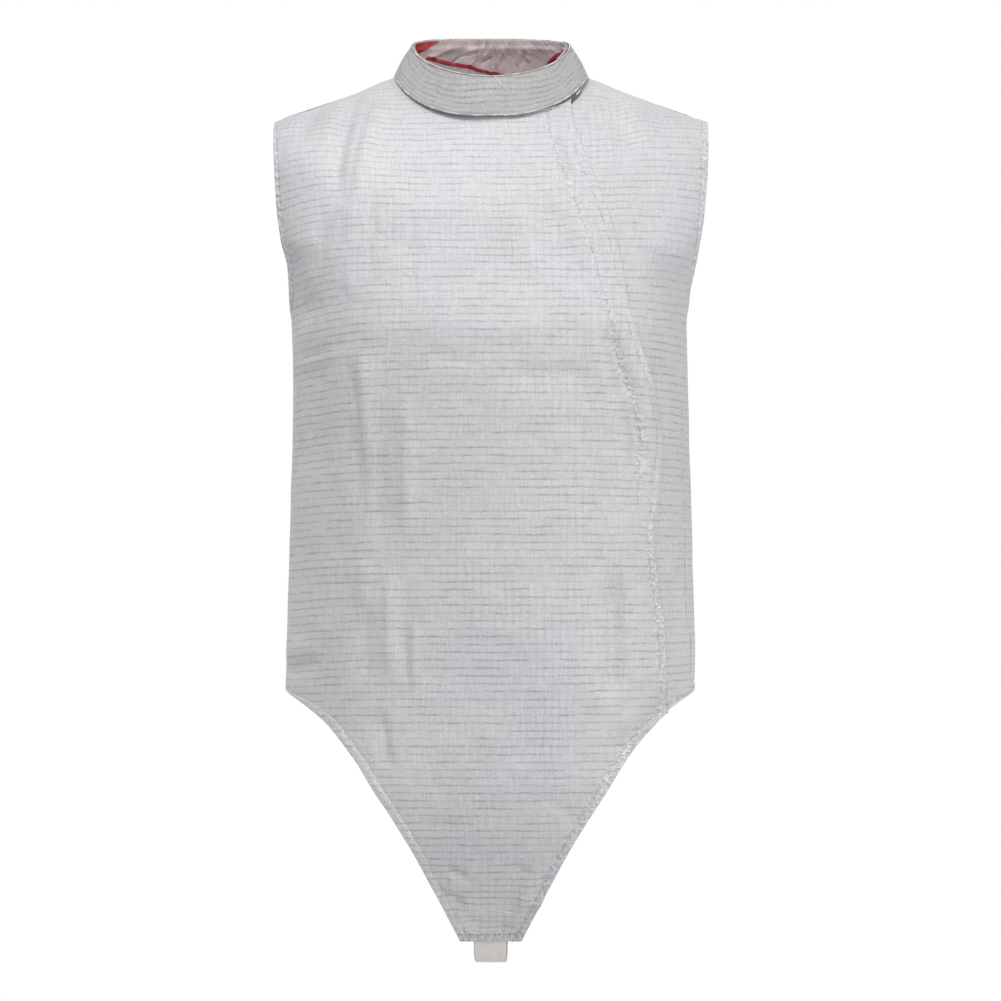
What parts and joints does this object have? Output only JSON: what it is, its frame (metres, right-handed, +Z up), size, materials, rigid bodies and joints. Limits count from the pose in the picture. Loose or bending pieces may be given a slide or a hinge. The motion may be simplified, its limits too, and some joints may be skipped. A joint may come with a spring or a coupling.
{
  "type": "foil lame",
  "caption": "Sleeveless conductive fencing jacket with a stand collar, an asymmetric side-closing flap, and a pointed front joined to the back hem by an elastic crotch strap.",
  "frame": {"origin": "midway between the two neck points, where the shoulder seams meet the collar", "axes": "+Z up along the wearer's spine, +X towards the wearer's left, and the wearer faces -Y"},
  "size_m": [0.39, 0.2516, 0.8371],
  "materials": {
    "lame_front": "satin",
    "lame_side": "satin",
    "lame_back": "satin",
    "lame_collar": "satin",
    "lining": "matte",
    "red_patch": "matte",
    "elastic": "matte"
  },
  "bodies": {
    "root": {"front_main": "lame_front", "front_side": "lame_side", "back": "lame_back", "collar": "lame_collar", "collar_lining": "lining", "collar_patch": "red_patch", "crotch_strap": "elastic"}
  },
  "joints": []
}
